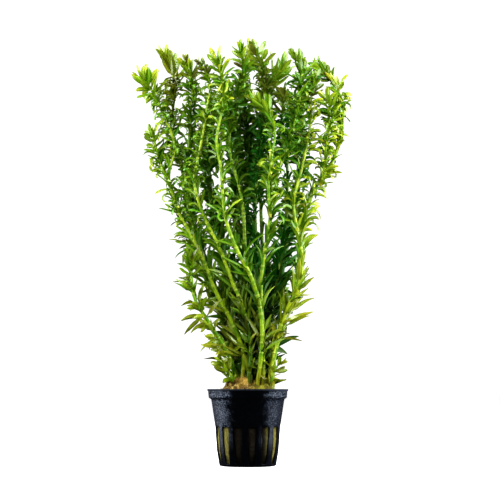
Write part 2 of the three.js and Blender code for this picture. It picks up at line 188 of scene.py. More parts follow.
STEM_SIDES = 8
STEM_RADIUS = [(0, 1.45), (0.3, 1.36), (0.5, 1.12), (0.75, 0.92), (1, 0.75)]
STEM_TINT = 0.4
JOINT_SWELLING = 0.18
JOINT_RINGS = [(-1.1, 0.3), (-0.45, 0.7), (0.0, 1.0), (0.5, 0.6), (1.2, 0.2)]
TIP_JOINTS = 4

# How leaves change with height: (height, value) pairs

WHORL_SPACING = [(60, 8.2), (110, 7.0), (160, 4.2), (210, 3.0), (290, 2.5)]
LEAF_LENGTH = [(60, 14), (85, 18), (115, 18), (140, 15), (180, 10.5), (230, 9.2), (290, 10)]
LEAF_WIDTH = [(60, 3.7), (110, 3.9), (150, 2.7), (200, 2.2), (290, 2.8)]
LEAF_OPENING = [(60, 34), (110, 28), (160, 28), (210, 42), (290, 50)]
LEAF_BEND = [(60, 22), (130, 20), (180, 32), (220, 50), (290, 60)]

# The leaves of a whorl. Openings and bends are in degrees, thickness and lengths in millimetres.

FIRST_WHORL = 60
LEAVES_PER_WHORL = 6
MISSING_SHARE = 0.12
SPARSE_BELOW = 165
POINTED_BELOW = 140
SPREAD_OUTSIDE = 16
OPENING_LIMITS = (6, 105)
OPENING_SCATTER = 13
CURLED_SHARE = 0.42
BEND_POWER = 1.7
KEEL = 0.5
LEAF_THICKNESS = 0.22

# The crown: the crowded leaves round the growing tip

TIP_BACK = 6
CROWN_LENGTH = 12
CROWN_LEVELS = 5
CROWN_LEAVES = 5
LAST_LEAVES = 3
CROWN_LEAF_LENGTH, CROWN_LEAF_SHORTENING = 9.8, 1.8
CROWN_LEAF_WIDTH = 3.7
CROWN_LEAF_THICKNESS = 0.25
CROWN_OPENING, CROWN_CLOSING = 60, 42

# The plan of the bunch: its middle at the foot and at the head, and its half sizes at the head

BUNCH_FOOT = (3, 0)
BUNCH_HEAD = (-3, 4)
BUNCH_HALF_SIZE = (50, 26)
BUNCH_BOTTOM, BUNCH_HEIGHT = 50, 240


class Wire:
    """A shader socket whose expressions add Math nodes."""

    def __init__(self, paint, socket):
        self.paint = paint
        self.socket = socket

    def maths(self, operation, *others):
        values = dict(enumerate((self, *others)))
        return self.paint.node("Math", {"operation": operation}, values)

    def __add__(self, other):
        return self.maths("ADD", other)

    def __mul__(self, other):
        return self.maths("MULTIPLY", other)

    def __sub__(self, other):
        return self.maths("SUBTRACT", other)

    def __rsub__(self, other):
        return self.paint.node("Math", {"operation": "SUBTRACT"}, {0: other, 1: self})

    def __abs__(self):
        return self.maths("ABSOLUTE")

    __radd__ = __add__
    __rmul__ = __mul__

    def between(self, low, high):
        """0 below low, 1 above high, smooth between."""
        settings = {"interpolation_type": "SMOOTHSTEP"}
        return self.paint.node("MapRange", settings, {"Value": self, "From Min": low, "From Max": high})


class Paint:
    """A material's node tree, built one node at a time."""

    def __init__(self, name):
        self.material = bpy.data.materials.new(name)
        self.material.use_nodes = True
        self.tree = self.material.node_tree
        self.tree.nodes.clear()

    def node(self, kind, settings=None, values=None, out=0):
        """A node's output: its settings first, then the values or links of its sockets."""
        node = self.tree.nodes.new("ShaderNode" + kind)
        for name, value in (settings or {}).items():
            setattr(node, name, value)
        for name, value in (values or {}).items():
            if isinstance(value, Wire):
                self.tree.links.new(value.socket, node.inputs[name])
            else:
                node.inputs[name].default_value = value
        return Wire(self, node.outputs[out])

    def place(self):
        return self.node("TexCoord", out="Object")

    def axis(self, index):
        """One coordinate of a place, in metres: 0 is X, 1 is Y and 2 is Z."""
        return self.node("SeparateXYZ", None, {0: self.place()}, out=index)

    def attribute(self, name):
        return self.node("Attribute", {"attribute_name": name}, out="Fac")

    def mottle(self, scale, detail=3, rough=0.6, stretch=(1, 1, 1)):
        where = self.node("Mapping", None, {"Vector": self.place(), "Scale": stretch})
        values = {"Vector": where, "Scale": scale, "Detail": detail, "Roughness": rough}
        return self.node("TexNoise", None, values)

    def mix(self, share, first, second):
        """From the first colour to the second: sockets 6 and 7 of a Mix node, and its colour output 2."""
        return self.node("Mix", {"data_type": "RGBA"}, {0: share, 6: solid(first), 7: solid(second)}, out=2)

    def bump(self, height, strength, distance):
        values = {"Height": height, "Strength": strength, "Distance": distance}
        return self.node("Bump", None, values)

    def finish(self, shader):
        out = self.tree.nodes.new("ShaderNodeOutputMaterial")
        self.tree.links.new(shader.socket, out.inputs["Surface"])
        return self.material


def solid(colour):
    return colour if isinstance(colour, Wire) else (*colour, 1)


# Materials

def leaf_paint():
    deep_green, grown_green = (0.004, 0.085, 0.001), (0.058, 0.25, 0.002)
    lime_foot, lime_point, yellow_lime = (0.16, 0.34, 0.007), (0.44, 0.53, 0.03), (0.42, 0.46, 0.03)
    blotch_green, edge_shade_green, pale_rib_and_highlight = (0.008, 0.085, 0.001), (0.004, 0.045, 0.001), (0.6, 0.76, 0.08)
    point_yellow, mud_olive = (0.8, 0.7, 0.02), (0.2, 0.15, 0.01)
    dead_dark, dead_pale = (0.035, 0.022, 0.008), (0.16, 0.11, 0.03)
    painted_shade_low, painted_shade_high = (0.0005, 0.018, 0.0003), (0.0002, 0.082, 0.0001)

    paint = Paint("elodea_leaf")
    along, edge, youth, tint, olive, wither, shade = (
        paint.attribute(name) for name in ("along", "edge", "youth", "tint", "olive", "wither", "shade"))
    cells = paint.mottle(900, 4)
    blotch = paint.mottle(260, 2)

    aged = paint.mix(youth.between(0.0, 0.45), deep_green, grown_green)
    lime = paint.mix(along.between(0.1, 0.8), lime_foot, lime_point)
    fresh = paint.mix(youth.between(0.35, 0.95), aged, lime)
    toned = paint.mix(tint * 0.5 * (0.3 + 0.7 * youth), fresh, yellow_lime)
    mottled = paint.mix(blotch.between(0.48, 0.7) * 0.6, toned, blotch_green)
    # Painted shade: the edges of each leaf are painted darker
    edge_shaded = paint.mix(edge.between(0.55, 1.0) * 0.7, mottled, edge_shade_green)
    # Partly the midrib's paler colour, partly a painted highlight along the middle of the leaf
    rib = 1 - edge.between(0.0, 0.45)
    rib_and_highlight = paint.mix(rib * (0.1 + 0.45 * youth), edge_shaded, pale_rib_and_highlight)
    point = along.between(0.5, 1.0) * youth.between(0.5, 0.95)
    tipped = paint.mix(point * 0.55, rib_and_highlight, point_yellow)
    muddy = paint.mix(olive * 0.8, tipped, mud_olive)
    dead = paint.mix(cells.between(0.4, 0.65), dead_dark, dead_pale)
    worn = paint.mix(wither, muddy, dead)
    # Painted shade: leaves deep inside and behind the bunch are painted near black low down and dark green
    # higher up, with less coat and translucency there
    painted_shade = paint.mix(paint.axis(2).between(0.09, 0.17), painted_shade_low, painted_shade_high)

    relief = paint.bump(cells, 0.35, 0.0002)
    blade = paint.node("BsdfPrincipled", None, {
        "Base Color": paint.mix(shade * 0.95, worn, painted_shade),
        "Roughness": 0.24 + 0.22 * cells + 0.4 * shade,
        "Normal": relief,
        "Specular IOR Level": 0.45, "Specular Tint": (0.4, 1.0, 0.3, 1),
        "Coat Weight": 0.7 * (1 - shade), "Coat Roughness": 0.17,
    })
    glow = paint.node("BsdfTranslucent", None, {"Color": (0.5, 0.7, 0.03, 1), "Normal": relief})
    return paint.finish(paint.node("MixShader", None, {0: 0.3 - 0.24 * shade, 1: blade, 2: glow}))


def stem_paint():
    green_flesh, lime_flesh, streak_lime = (0.11, 0.29, 0.004), (0.36, 0.44, 0.014), (0.6, 0.7, 0.08)
    blotch_green, joint_pale, joint_ring = (0.04, 0.16, 0.002), (0.66, 0.72, 0.12), (0.05, 0.12, 0.004)
    foot_tan, painted_shade = (0.3, 0.24, 0.012), (0.002, 0.05, 0.0005)

    paint = Paint("elodea_stem")
    joint, youth, tint, shade = (paint.attribute(name) for name in ("joint", "youth", "tint", "shade"))
    streaks = paint.mottle(700, 4, 0.6, (1, 1, 0.12))
    blotch = paint.mottle(150, 2)

    flesh = paint.mix(tint, green_flesh, lime_flesh)
    streaked = paint.mix(streaks.between(0.5, 0.75) * 0.55, flesh, streak_lime)
    blotched = paint.mix(blotch.between(0.42, 0.62) * 0.75, streaked, blotch_green)
    pale = paint.mix(joint.between(0.25, 0.7) * (0.6 - 0.4 * youth), blotched, joint_pale)
    aged = 0.85 - 0.7 * youth.between(0.2, 0.5)
    ringed = paint.mix(joint.between(0.6, 0.85) * aged, pale, joint_ring)
    footed = paint.mix((1 - youth.between(0.01, 0.1)) * 0.7, ringed, foot_tan)

    relief = paint.bump(streaks, 0.25, 0.0002)
    skin = paint.node("BsdfPrincipled", None, {
        # Painted shade: the stem is painted dark where it stands inside the bunch or below its hidden
        # height, with less translucency there
        "Base Color": paint.mix(shade * 0.88, footed, painted_shade),
        "Roughness": 0.22 + 0.2 * streaks,
        "Normal": relief,
        "Specular IOR Level": 0.5, "Specular Tint": (0.7, 1.0, 0.5, 1),
    })
    glow = paint.node("BsdfTranslucent", None, {"Color": (0.38, 0.48, 0.03, 1), "Normal": relief})
    return paint.finish(paint.node("MixShader", None, {0: 0.18 - 0.14 * shade, 1: skin, 2: glow}))


def pot_paint():
    """Black plastic, glossy in front, with painted highlights on its sides and its collar: a bluish painted
    reflection and a fine grey speckle.
    """
    black, dull_black = (0.0004, 0.0005, 0.0009), (0.001, 0.0012, 0.0022)
    side_reflection_blue, speckle_highlight_grey = (0.006, 0.008, 0.014), (0.1, 0.118, 0.16)

    paint = Paint("black_net_pot")
    skin = paint.mottle(330, 3)
    grain = paint.mottle(800, 4, 0.7)
    speckle_noise = paint.mottle(950, 3, 0.7)
    upper = paint.axis(2).between(0.018, 0.03)
    collar = paint.axis(2).between(0.043, 0.046)
    lip = paint.axis(2).between(0.0501, 0.0506)
    ragged = 0.016 * (paint.mottle(160, 4) - 0.5)
    beside = (abs(paint.axis(0)) + ragged).between(0.009, 0.019)
    calm = paint.axis(0).between(0, 0.012) * (1 - 0.85 * collar)
    # Painted highlight: a grey speckle over the sides and collar where the side lamps' highlights fall, less
    # on the right and none on the lip
    speckle_highlight_mask = beside * (0.1 + 0.9 * upper) * (0.84 + 0.3 * collar) * (1 - 0.6 * calm) * (1 - lip)

    plain = paint.mix(skin.between(0.45, 0.7), black, dull_black)
    # Painted reflection: the sides are painted bluish where the side lamps are reflected
    side_reflected = paint.mix(beside * (0.4 + 0.6 * upper), plain, side_reflection_blue)
    shader = paint.node("BsdfPrincipled", None, {
        "Base Color": paint.mix(speckle_noise.between(0.52, 0.62) * speckle_highlight_mask, side_reflected, speckle_highlight_grey),
        "Roughness": 0.07 + 0.1 * skin + 0.08 * beside + 0.6 * lip,
        "Normal": paint.bump(grain * (0.15 + 0.85 * speckle_highlight_mask), 1.0, 0.00055),
        "Specular IOR Level": 0.34, "Specular Tint": (0.66, 0.8, 1.0, 1),
    })
    return paint.finish(shader)


def wool_paint():
    """Tan and olive fibre, painted in shade behind the front of the pot, with one pale torn lump."""
    tan_dark, tan_pale, crease = (0.14, 0.085, 0.014), (0.55, 0.42, 0.14), (0.03, 0.017, 0.003)
    olive_dark, olive_pale, moss = (0.075, 0.068, 0.012), (0.25, 0.23, 0.065), (0.3, 0.33, 0.02)
    wet_brown, front_shade_brown, lump_tan = (0.03, 0.014, 0.004), (0.005, 0.0035, 0.001), (0.39, 0.25, 0.045)

    paint = Paint("rock_wool_fibre")
    height, tint = paint.attribute("height"), paint.attribute("tint")
    damp = paint.mottle(120, 4)
    fibres = paint.mottle(1500, 4, 0.7, (1, 1, 0.35))
    clumps = paint.mottle(420, 3)
    beside = abs(paint.axis(0) - 0.001).between(0.0095, 0.0145)
    # Painted shade: the wool behind the front slots is painted dark brown, while the side slots stay light
    front_shade = (1 - beside) * (1 - paint.axis(1).between(-0.014, -0.008))

    tan = paint.mix(fibres.between(0.4, 0.62), tan_dark, tan_pale)
    creased = paint.mix(clumps.between(0.42, 0.58) * 0.85, tan, crease)
    olive = paint.mix(fibres.between(0.35, 0.7), olive_dark, olive_pale)
    body = paint.mix(height.between(0.0, 1.0), olive, creased)
    mossy = paint.mix(paint.axis(0).between(0.0, 0.007) * height * 0.6, body, moss)
    wet = paint.mix(damp.between(0.46, 0.58) * (0.2 + 0.5 * height), mossy, wet_brown)
    dark = paint.mix(front_shade * (1 - height), wet, front_shade_brown)
    shader = paint.node("BsdfPrincipled", None, {
        "Base Color": paint.mix(tint * 0.75, dark, lump_tan),
        "Roughness": 0.95 - 0.35 * damp.between(0.5, 0.7),
        "Normal": paint.bump(fibres + 1.5 * clumps, 0.9, 0.0008),
        "Specular IOR Level": 0.12,
    })
    return paint.finish(shader)


def floor_paint():
    soft_white, bright_white = (0.88, 0.88, 0.88), (0.91, 0.91, 0.91)
    paint = Paint("studio_floor")
    shader = paint.node("BsdfPrincipled", None, {
        "Base Color": paint.mix(paint.mottle(3, 2), soft_white, bright_white),
        "Roughness": 0.7, "Specular IOR Level": 0.2,
        "Emission Color": (1, 1, 1, 1), "Emission Strength": FLOOR_GLOW,
    })
    return paint.finish(shader)


# Curves and small tools

def level(pairs, height):
    heights, values = zip(*pairs)
    return np.interp(height, heights, values)


def smooth(share):
    share = np.clip(share, 0, 1)
    return share * share * (3 - 2 * share)


def climb(value, start, span):
    """0 up to start, 1 from start + span on, and smooth between."""
    return smooth((value - start) / span)


def pitch_share(turn, pitch, start=0.5):
    """How far a turn is from the middle of its pitch, in pitches."""
    return (turn / pitch + start) % 1 - 0.5


class CentreLine:
    """The smooth line through a shoot's route, measured along its length."""

    STEPS = 24

    def __init__(self, route):
        points = [np.array(point, float) for point in route]
        points = [2 * points[0] - points[1], *points, 2 * points[-1] - points[-2]]
        samples = []
        for before, start, end, after in zip(points, points[1:], points[2:], points[3:]):
            samples.extend(self.stretch(before, start, end, after))
        samples.append(points[-2])
        self.samples = np.array(samples)
        steps = np.linalg.norm(np.diff(self.samples, axis=0), axis=1)
        self.distance = np.concatenate([[0], np.cumsum(steps)])
        self.length = self.distance[-1]

    def stretch(self, before, start, end, after):
        knots = [np.linalg.norm(b - a) ** 0.5 for a, b in ((before, start), (start, end), (end, after))]
        k0, k1, k2 = knots
        leaving = (start - before) / k0 - (end - before) / (k0 + k1) + (end - start) / k1
        arriving = (end - start) / k1 - (after - start) / (k1 + k2) + (after - end) / k2
        for step in range(self.STEPS):
            t = step / self.STEPS
            yield ((2 * t**3 - 3 * t**2 + 1) * start + (t**3 - 2 * t**2 + t) * k1 * leaving
                   + (3 * t**2 - 2 * t**3) * end + (t**3 - t**2) * k1 * arriving)

    def at(self, distance):
        return np.stack([np.interp(distance, self.distance, self.samples[:, i]) for i in range(3)], axis=-1)

    def frame(self, distance):
        """The point, and the right, back and along directions, at each distance."""
        distance = np.asarray(distance, float)
        reach = 0.6
        ahead = self.at(np.clip(distance + reach, 0, self.length))
        behind = self.at(np.clip(distance - reach, 0, self.length))
        along = unit(ahead - behind)
        right = unit(np.cross(np.array([0.0, 1.0, 0.0]), along))
        back = np.cross(along, right)
        return self.at(distance), right, back, along


def unit(vectors):
    return vectors / np.linalg.norm(vectors, axis=-1, keepdims=True)


class Part:
    """Arrays of one shell: points in millimetres, faces, attributes and material index."""

    def __init__(self, points, faces, material=0, **attributes):
        self.points = np.asarray(points, float).reshape(-1, 3)
        self.faces = faces
        self.material = material
        self.attributes = {k: np.asarray(v, float).reshape(-1) for k, v in attributes.items()}


def make_object(name, parts, materials, sharp=50):
    """One mesh object out of all the parts, in metres."""
    points = np.concatenate([part.points for part in parts]) * MM
    faces = []
    indices = []
    start = 0
    for part in parts:
        faces.extend([tuple(corner + start for corner in face) for face in part.faces])
        indices.extend([part.material] * len(part.faces))
        start += len(part.points)
    mesh = bpy.data.meshes.new(name)
    mesh.from_pydata(points.tolist(), [], faces)
    for title in sorted({title for part in parts for title in part.attributes}):
        values = [part.attributes.get(title, np.zeros(len(part.points))) for part in parts]
        layer = mesh.attributes.new(title, "FLOAT", "POINT")
        layer.data.foreach_set("value", np.concatenate(values).astype(np.float32))
    for material in materials:
        mesh.materials.append(material)
    mesh.polygons.foreach_set("material_index", np.array(indices, np.int32))
    mesh.polygons.foreach_set("use_smooth", np.ones(len(faces), bool))
    mesh.set_sharp_from_angle(angle=math.radians(sharp))
    mesh.update()
    return add_object(name, mesh)


def add_object(name, data):
    obj = bpy.data.objects.new(name, data)
    bpy.context.scene.collection.objects.link(obj)
    return obj


def draw_on(bm, ring):
    """The points and edges of a new ring, extruded in place from a ring of edges."""
    drawn = bmesh.ops.extrude_edge_only(bm, edges=ring)["geom"]
    verts = [item for item in drawn if isinstance(item, bmesh.types.BMVert)]
    edges = [item for item in drawn if isinstance(item, bmesh.types.BMEdge)
             and all(vert in verts for vert in item.verts)]
    return verts, edges


def shell_arrays(bm):
    """The points and faces of a closed shell, with its faces turned outwards."""
    bmesh.ops.recalc_face_normals(bm, faces=bm.faces)
    bm.verts.index_update()
    points = np.array([vert.co[:] for vert in bm.verts])
    return points, [tuple(vert.index for vert in face.verts) for face in bm.faces]


# A blade, one unit long, drawn out of a four-cornered ring and capped at both ends

BLADE_CORNERS = 4


def blade_shape(outline, rings):
    """Template points as (across, along, up) and faces, from a ring extruded along Y."""
    bm = bmesh.new()
    bmesh.ops.create_circle(bm, segments=BLADE_CORNERS, radius=1, cap_ends=True)
    bmesh.ops.rotate(bm, verts=bm.verts, matrix=Matrix.Rotation(math.radians(90), 3, "X"))
    bm.edges.ensure_lookup_table()
    ring = list(bm.edges)
    stations = [(step / rings, outline(step / rings)) for step in range(rings + 1)]
    wide = stations[0][1]
    bmesh.ops.scale(bm, verts=bm.verts, vec=(wide, 1, wide))
    for (before, width), (after, next_width) in zip(stations, stations[1:]):
        verts, ring = draw_on(bm, ring)
        grow = next_width / width
        bmesh.ops.scale(bm, verts=verts, vec=(grow, 1, grow))
        bmesh.ops.translate(bm, verts=verts, vec=(0, after - before, 0))
    bmesh.ops.contextual_create(bm, geom=ring)
    points, faces = shell_arrays(bm)
    bm.free()
    points[:, 1] = np.clip(points[:, 1], 0, 1)
    return points, faces


def lance(share):
    """Half width of a lance-shaped leaf, widest at 0.35 of its length."""
    if share < 0.35:
        return 0.45 + 0.9 * share
    return max(0.14, math.cos((share - 0.35) / 0.65 * 1.5) ** 0.85 * 0.77)


def strap(share):
    """Half width of a strap-shaped leaf with a blunt point."""
    return max(0.2, min(0.6 + 1.1 * share, 0.88, 1.9 * (1.03 - share) ** 0.55))


def thread(share):
    """Half width of a fibre, which thins towards its end."""
    return 1 - 0.7 * share


LANCE = blade_shape(lance, 7)
STRAP = blade_shape(strap, 7)
THREAD = blade_shape(thread, 3)


def bend_blades(shape, base, out, along, form):
    """Copies of a blade, each bent in the plane of its stem and its own direction, turned and placed.

    form holds each one's length, width, thickness, opening, bend, roll, twist, sway and lift.
    """
    points, faces = shape
    across, share, up = points[:, 0], points[:, 1], points[:, 2]
    rings = np.unique(share.round(5))
    fine = np.linspace(0, 1, 4 * (len(rings) - 1) + 1)
    middle = (fine[1:] + fine[:-1]) / 2
    side = np.cross(out, along)
    opening, bend = form["opening"][:, None], form["bend"][:, None]
    angle = opening + bend * middle[None, :] ** BEND_POWER
    steps = np.stack([np.cos(angle), np.sin(angle)], axis=-1) / len(middle)
    path = np.concatenate([np.zeros((len(base), 1, 2)), np.cumsum(steps, axis=1)], axis=1)
    knot = np.searchsorted(fine, share.round(5) - 1e-6)
    turned = opening + bend * share[None, :] ** BEND_POWER
    rise, reach = path[:, knot, 0], path[:, knot, 1]
    up_axis = np.sin(turned)[..., None] * along[:, None] - np.cos(turned)[..., None] * out[:, None]
    turn = form["roll"][:, None] * smooth(share / 0.3)[None, :] + form["twist"][:, None] * share[None, :]
    side_axis = np.broadcast_to(side[:, None], up_axis.shape)
    flat = np.cos(turn)[..., None] * side_axis + np.sin(turn)[..., None] * up_axis
    face = np.cos(turn)[..., None] * up_axis - np.sin(turn)[..., None] * side_axis
    size = form["length"][:, None, None]
    width, thickness = form["width"][:, None], form["thickness"][:, None]
    swept = share[None, :] ** 2
    place = (base[:, None] + size * (rise[..., None] * along[:, None] + reach[..., None] * out[:, None])
             + (across[None, :] * width / 2)[..., None] * flat
             + (up * thickness + KEEL * np.abs(across) * width / 2)[..., None] * face
             + (form["sway"][:, None] * swept)[..., None] * size * side_axis
             + (form["lift"][:, None] * swept)[..., None] * size * np.array([0, 0, 1.0]))
    count = len(points)
    all_faces = [tuple(corner + i * count for corner in f) for i in range(len(base)) for f in faces]
    return place, all_faces, np.broadcast_to(share, (len(base), count)), np.abs(across)


# A shoot: its jointed stem, and its leaves in whorls

def whorl_distances(line, end, first, lush):
    """Where the whorls sit, from the first one up to the crowded crown."""
    crown_start = end - CROWN_LENGTH - 1
    distances = []
    at = 2.0
    while at < crown_start:
        height = line.at(at)[2]
        if height > first:
            distances.append(at)
        at += float(level(WHORL_SPACING, height)) / lush * random.uniform(0.65, 1.35)
    return np.array(distances)


def stem_part(shoot, line, end, whorls):
    """A round stem drawn out ring by ring, and swollen at every joint."""
    stations = {0.0: 0.0, end: 0.0}
    for joint in [*whorls, *np.linspace(end - 7, end - 1, TIP_JOINTS)]:
        swelling = random.uniform(0.35, 1.0)
        for offset, close in JOINT_RINGS:
            if 0.3 < joint + offset < end - 0.2:
                stations[float(joint + offset)] = close * swelling
    places = sorted(stations)
    bm = bmesh.new()
    bmesh.ops.create_circle(bm, segments=STEM_SIDES, radius=1, cap_ends=True)
    joint_layer = bm.verts.layers.float.new("joint")
    youth_layer = bm.verts.layers.float.new("youth")
    ring = list(bm.edges)
    verts = list(bm.verts)
    last = Matrix.Identity(4)
    centres, rights, backs, alongs = line.frame(places)
    for index, distance in enumerate(places):
        share = distance / line.length
        close = stations[distance]
        radius = shoot.get("slim", 1) * float(level(STEM_RADIUS, share)) * (1 + JOINT_SWELLING * close)
        if index:
            verts, ring = draw_on(bm, ring)
        axes = rights[index], backs[index], alongs[index]
        basis = Matrix([[*(radius * axis)] for axis in axes]).transposed()
        place = Matrix.Translation(Vector(centres[index])) @ basis.to_4x4()
        bmesh.ops.transform(bm, matrix=place @ last.inverted(), verts=verts)
        last = place
        for vert in verts:
            vert[joint_layer] = close
            vert[youth_layer] = share
    bmesh.ops.contextual_create(bm, geom=ring)
    points, faces = shell_arrays(bm)
    closeness = [vert[joint_layer] for vert in bm.verts]
    youth = [vert[youth_layer] for vert in bm.verts]
    bm.free()
    tint = np.full(len(points), shoot.get("stem", STEM_TINT))
    # Painted shade: the stem is painted darker inside the bunch and below its hidden height
    in_bunch = shadiness(points, np.zeros_like(points)) * 0.7
    in_dark = 0.95 * (1 - climb(points[:, 2], shoot.get("hidden", 0), 15))
    shade = np.maximum(in_bunch, in_dark)
    return Part(points, faces, 1, joint=closeness, youth=youth, tint=tint, shade=shade)


def leaf_part(shape, line, distances, turns, growth):
    """The leaves at these distances, turned round the stem. growth gives each one's form and colours."""
    centre, right, back, along = line.frame(distances)
    out = np.cos(turns)[:, None] * right + np.sin(turns)[:, None] * back
    stem = level(STEM_RADIUS, distances / line.length)
    base = centre + out * (stem * 0.75)[:, None]
    place, faces, share, across = bend_blades(shape, base, out, along, growth)
    count = share.shape[1]
    edge = np.broadcast_to(across, share.shape)
    titles = ("youth", "tint", "olive", "wither", "shade")
    colours = {title: np.repeat(growth[title], count) for title in titles}
    return Part(place, faces, 0, along=share, edge=edge, **colours)


def from_middle(points):
    """How far from the middle of the bunch, where its outside is 1."""
    share = climb(points[:, 2], BUNCH_BOTTOM, BUNCH_HEIGHT)[:, None]
    middle = np.array(BUNCH_FOOT) * (1 - share) + np.array(BUNCH_HEAD) * share
    away = (points[:, :2] - middle) / (np.array(BUNCH_HALF_SIZE) * (0.35 + 0.65 * share))
    return away / np.maximum(1, np.linalg.norm(away, axis=1, keepdims=True))


def outwardness(points, out):
    """1 where a leaf points away from the middle of the bunch, -1 where it points into it."""
    return (from_middle(points) * out[:, :2]).sum(axis=1)


def shadiness(points, out, screened=0):
    """How much painted shade a place gets: 1 deep inside the bunch below its crowns, 0 at its outside, and
    0.5 more behind its middle.

    Low down, screened says how far those in front lie in the shade too.
    """
    height = points[:, 2]
    away = from_middle(points + 4 * out)
    away[:, 1] *= 1 - screened * (1 - climb(height, 100, 70)) * (away[:, 1] < 0)
    inside = 1 - climb(np.linalg.norm(away, axis=1), 0.35, 0.6)
    behind = 0.5 * (away[:, 1] > -0.1)
    return np.clip(inside + behind, 0, 1) * (1 - climb(height, 225, 40))


def is_cleared(shoot, height, angle):
    """True for most of the leaves on a side that is clear of leaves at this height."""
    sides = [side for low, high, side in shoot.get("clear", []) if low < height < high]
    return any(side * math.cos(angle) > 0.4 for side in sides) and random.random() < 0.85


def whorl_places(shoot, line, whorls):
    """Each leaf's distance, its turn round the stem, and the vigour, splay and droop of its whorl."""
    places = []
    turn = random.uniform(0, math.tau)
    for distance in whorls:
        height = line.at(distance)[2]
        in_bare = any(low < height < high for low, high in shoot.get("bare", []))
        bare_share = 0.9 - 0.24 * climb(height, 130, 40)
        missing = MISSING_SHARE + shoot.get("sparse", 0) * (height < SPARSE_BELOW)
        turn += 0.6 + random.uniform(-0.3, 0.3)
        vigour, splay, droop = random.uniform(0.75, 1.2), random.normal(0, 13), random.uniform(0.3, 1.7)
        for leaf in range(LEAVES_PER_WHORL):
            angle = turn + leaf * math.tau / LEAVES_PER_WHORL + random.uniform(-0.45, 0.45)
            facing = -math.sin(angle)
            if in_bare and facing > 0.35 and random.random() < bare_share:
                continue
            if is_cleared(shoot, height, angle) or random.random() < missing:
                continue
            places.append((distance + random.uniform(-1, 1), angle, vigour, splay, droop))
    return np.array(places).T


def whorl_leaves(shoot, line, whorls):
    """The leaves along the stem below the crown: pointed low down, and straps higher up."""
    distances, turns, vigour, splay, droop = whorl_places(shoot, line, whorls)
    count = len(distances)
    scatter = partial(random.uniform, size=count)
    centre, right, back, along = line.frame(distances)
    out = np.cos(turns)[:, None] * right + np.sin(turns)[:, None] * back
    outside = outwardness(centre, out)
    height = centre[:, 2]
    from_tip = distances - line.length

    wither = (scatter(0, 1) < shoot["brown"]) * scatter(0.6, 1.0)
    # Leaf freshness, with painted light: leaves that face out of the bunch, low leaves and shoots whose dark
    # is below 0 are painted lighter green
    fresh_and_lit = 0.32 + 0.11 * climb(height, 150, 130) - 0.55 * shoot["dark"] + 0.35 * outside
    fresh_and_lit += 0.22 * (1 - climb(height, 80, 50)) + 0.09 * (1 - climb(height, 110, 40))
    fresh_and_lit = np.maximum(fresh_and_lit, 0.34 * climb(from_tip, -55, 40)) + scatter(-0.3, 0.25)
    # Painted shade: leaves inside the bunch, on dark shoots and low down get more of it
    depth = 0.5 + 0.45 * (shoot["dark"] > 0.4) + 0.25 * (1 - climb(height, 125, 40))
    shade = shadiness(centre, out, 0.45) * depth + shoot.get("deep", 0) + scatter(-0.3, 0.2)
    olive = shoot.get("olive", 0.1) + 0.55 * (1 - climb(height, 80, 60))

    curl = (scatter(0, 1) < CURLED_SHARE) * climb(height, 120, 60) * scatter(40, 200)
    long = 1 + (shoot.get("long", 1) - 1) * climb(height, 120, 60)
    upright = 1 - shoot.get("upright", 0) * climb(height, 85, 25) * (1 - climb(height, 150, 30))
    hugging = climb(from_tip, -shoot.get("hug", 0), 8)
    opening = level(LEAF_OPENING, height) + SPREAD_OUTSIDE * outside + shoot.get("splay", 0) + splay
    growth = dict(
        length=level(LEAF_LENGTH, height) * shoot.get("size", 1) * long * vigour * scatter(0.62, 1.22)
        * (1 - 0.25 * wither),
        width=level(LEAF_WIDTH, height) * shoot.get("wide", 1) * scatter(0.8, 1.15) * (1 - 0.3 * wither),
        opening=np.radians((1 - 0.75 * hugging) * upright * np.clip(
            opening + random.normal(0, OPENING_SCATTER, count), *OPENING_LIMITS)),
        bend=np.radians((level(LEAF_BEND, height) * droop * scatter(-0.25, 1.75) + 60 * wither + curl)
                        * (1 - hugging)),
        roll=(scatter(0.2, 1.1) + 0.35 * (1 - climb(height, 110, 40))) * np.sign(scatter(-1, 1)),
        twist=scatter(-1.1, 1.1) * (1 + 1.5 * wither),
        sway=scatter(-0.45, 0.45),
        lift=scatter(-0.12, 0.2),
        thickness=np.full(count, LEAF_THICKNESS),
        youth=np.clip(fresh_and_lit, 0, 1),
        tint=scatter(0, 1) ** 2,
        olive=np.clip(olive + scatter(-0.3, 0.35), 0, 1),
        wither=wither,
        shade=np.clip(shade, 0, 1),
    )
    kept = np.ones(count, bool)
    for bottom, top, side in shoot.get("gaps", []):
        kept &= (height < bottom) | (height > top) | (side * np.cos(turns) < 0.25)
    low = height < POINTED_BELOW
    parts = []
    for shape, pick in ((LANCE, low & kept), (STRAP, ~low & kept)):
        if pick.any():
            picked = {title: values[pick] for title, values in growth.items()}
            parts.append(leaf_part(shape, line, distances[pick], turns[pick], picked))
    return parts


